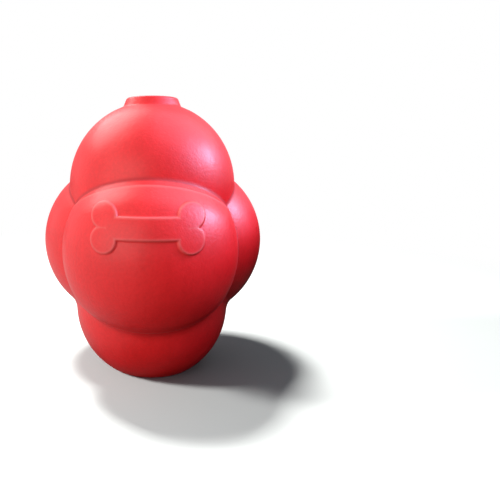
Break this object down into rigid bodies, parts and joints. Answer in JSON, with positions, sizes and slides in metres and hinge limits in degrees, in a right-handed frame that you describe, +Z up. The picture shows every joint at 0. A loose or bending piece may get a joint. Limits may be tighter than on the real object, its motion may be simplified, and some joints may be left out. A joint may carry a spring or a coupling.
{
  "type": "chew toy",
  "caption": "Hollow rubber chew toy of overlapping round lobes, with a wide mouth at the bottom for filling it with treats and a small collared nozzle on top",
  "frame": {"origin": "Centre of the mouth, in the plane of the lip that the toy stands on", "axes": "+X to the right, seen from in front of the side lobe that faces the viewer; +Y away from the viewer, from the front side lobe to the crease between the other two; +Z up the toy's axis, from the mouth to the nozzle"},
  "size_m": [0.0997, 0.096, 0.1196],
  "materials": {
    "rubber": "satin moulded natural rubber, strong red, with a soft sheen"
  },
  "bodies": {
    "root": {"mouth_rim": "rubber", "mouth_lobe": "rubber", "side_lobe_front": "rubber", "side_lobe_right": "rubber", "side_lobe_left": "rubber", "nozzle_lobe": "rubber", "nozzle_collar": "rubber"}
  },
  "joints": []
}
